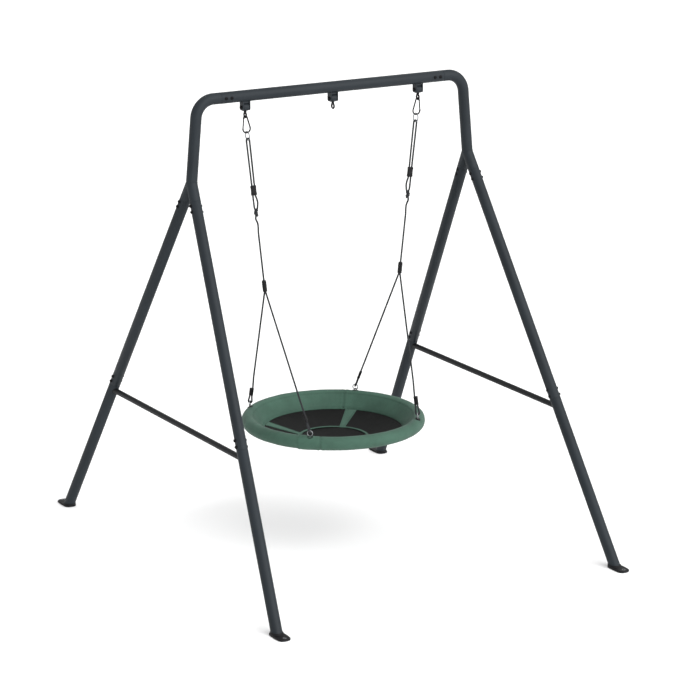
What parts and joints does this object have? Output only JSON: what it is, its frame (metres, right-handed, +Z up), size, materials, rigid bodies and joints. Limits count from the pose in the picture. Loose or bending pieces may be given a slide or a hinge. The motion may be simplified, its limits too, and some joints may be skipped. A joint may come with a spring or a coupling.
{
  "type": "nest swing with A-frame stand",
  "caption": "Flexible round nest seat on two rope bridles, hung from the top beam of a splayed steel tube A-frame stand.",
  "frame": {"origin": "on the ground under the middle of the top beam", "axes": "+Z up, +X along the top beam, +Y the way the swing swings"},
  "size_m": [1.806, 2.2422, 2.1425],
  "materials": {
    "frame_coat": "satin slate-grey powder coat",
    "bar_coat": "satin near-black powder coat",
    "black_plastic": "moulded, fine grain",
    "black_steel": "black plated or coated steel",
    "zinc_steel": "zinc plated",
    "rope": "braided polyester",
    "green_fabric": "coated oxford weave",
    "base_fabric": "open textilene weave",
    "foam": "closed-cell foam"
  },
  "bodies": {
    "frame": {"top_beam": "frame_coat", "corner_left": "frame_coat", "corner_right": "frame_coat", "cross_bar_left": "bar_coat", "cross_bar_right": "bar_coat", "upper_leg_left_front": "frame_coat", "upper_leg_left_rear": "frame_coat", "upper_leg_right_front": "frame_coat", "upper_leg_right_rear": "frame_coat", "lower_leg_left_front": "frame_coat", "lower_leg_left_rear": "frame_coat", "lower_leg_right_front": "frame_coat", "lower_leg_right_rear": "frame_coat", "foot_left_front": "black_plastic", "foot_left_rear": "black_plastic", "foot_right_front": "black_plastic", "foot_right_rear": "black_plastic", "fork_bolts_left_front": "black_steel", "fork_bolts_left_rear": "black_steel", "fork_bolts_right_front": "black_steel", "fork_bolts_right_rear": "black_steel", "leg_bolts_left_front": "black_steel", "leg_bolts_left_rear": "black_steel", "leg_bolts_right_front": "black_steel", "leg_bolts_right_rear": "black_steel", "bracket_left": "frame_coat", "hanger_pin_left": "black_steel", "bracket_right": "frame_coat", "hanger_pin_right": "black_steel", "bracket_spare": "frame_coat", "hanger_pin_spare": "black_steel"},
    "swing": {"eye_left": "black_steel", "eye_right": "black_steel"},
    "bridle_left": {"hook_left": "black_steel", "top_ring_left": "zinc_steel", "upper_rope_left": "rope", "adjuster_left": "black_plastic", "junction_left": "black_plastic", "lower_rope_left": "rope", "lower_sleeve_left_front": "black_plastic", "lower_sleeve_left_rear": "black_plastic"},
    "bridle_right": {"hook_right": "black_steel", "top_ring_right": "zinc_steel", "upper_rope_right": "rope", "adjuster_right": "black_plastic", "junction_right": "black_plastic", "lower_rope_right": "rope", "lower_sleeve_right_front": "black_plastic", "lower_sleeve_right_rear": "black_plastic"},
    "seat": {"seat_ring_left_front": "zinc_steel", "seat_ring_left_rear": "zinc_steel", "seat_ring_right_front": "zinc_steel", "seat_ring_right_rear": "zinc_steel", "seat_hoop": "black_steel", "rim_foam": "foam", "seat_cover": "green_fabric", "seat_base": "base_fabric"},
    "spare_hanger": {"eye_spare": "black_steel"},
    "gate_left": {"gate_left": "black_steel"},
    "gate_right": {"gate_right": "black_steel"}
  },
  "joints": [
    {"name": "swing_fore_aft", "type": "hinge", "parent": "frame", "child": "swing", "pos_m": [0, 0, 2.066], "axis": [1, 0, 0], "range_deg": [-45, 45]},
    {"name": "sway_left", "type": "hinge", "parent": "swing", "child": "bridle_left", "pos_m": [-0.4468, 0, 2.0191], "axis": [0, 1, 0], "range_deg": [-6, 6]},
    {"name": "sway_right", "type": "hinge", "parent": "swing", "child": "bridle_right", "pos_m": [0.4468, 0, 2.0191], "axis": [0, 1, 0], "range_deg": [-6.5, 6.5]},
    {"name": "seat_level", "type": "hinge", "parent": "bridle_left", "child": "seat", "pos_m": [-0.2835, 0, 0.6215], "axis": [0, 1, 0], "range_deg": [-10.5, 10.5]},
    {"name": "spare_hanger_swing", "type": "hinge", "parent": "frame", "child": "spare_hanger", "pos_m": [0, 0, 2.066], "axis": [1, 0, 0], "range_deg": [-45, 45]},
    {"name": "gate_left_open", "type": "hinge", "parent": "bridle_left", "child": "gate_left", "pos_m": [-0.45463, 0, 2.01448], "axis": [0, -1, 0], "range_deg": [0, 22], "stiffness_Nm_per_rad": 0.02, "springref_deg": -11.46},
    {"name": "gate_right_open", "type": "hinge", "parent": "bridle_right", "child": "gate_right", "pos_m": [0.45463, 0, 2.01448], "axis": [0, 1, 0], "range_deg": [0, 22], "stiffness_Nm_per_rad": 0.02, "springref_deg": -11.46}
  ],
  "couplings": [
    {"joint": "sway_right", "follows": "sway_left", "ratio": 1},
    {"joint": "seat_level", "follows": "sway_left", "ratio": -1.576}
  ]
}
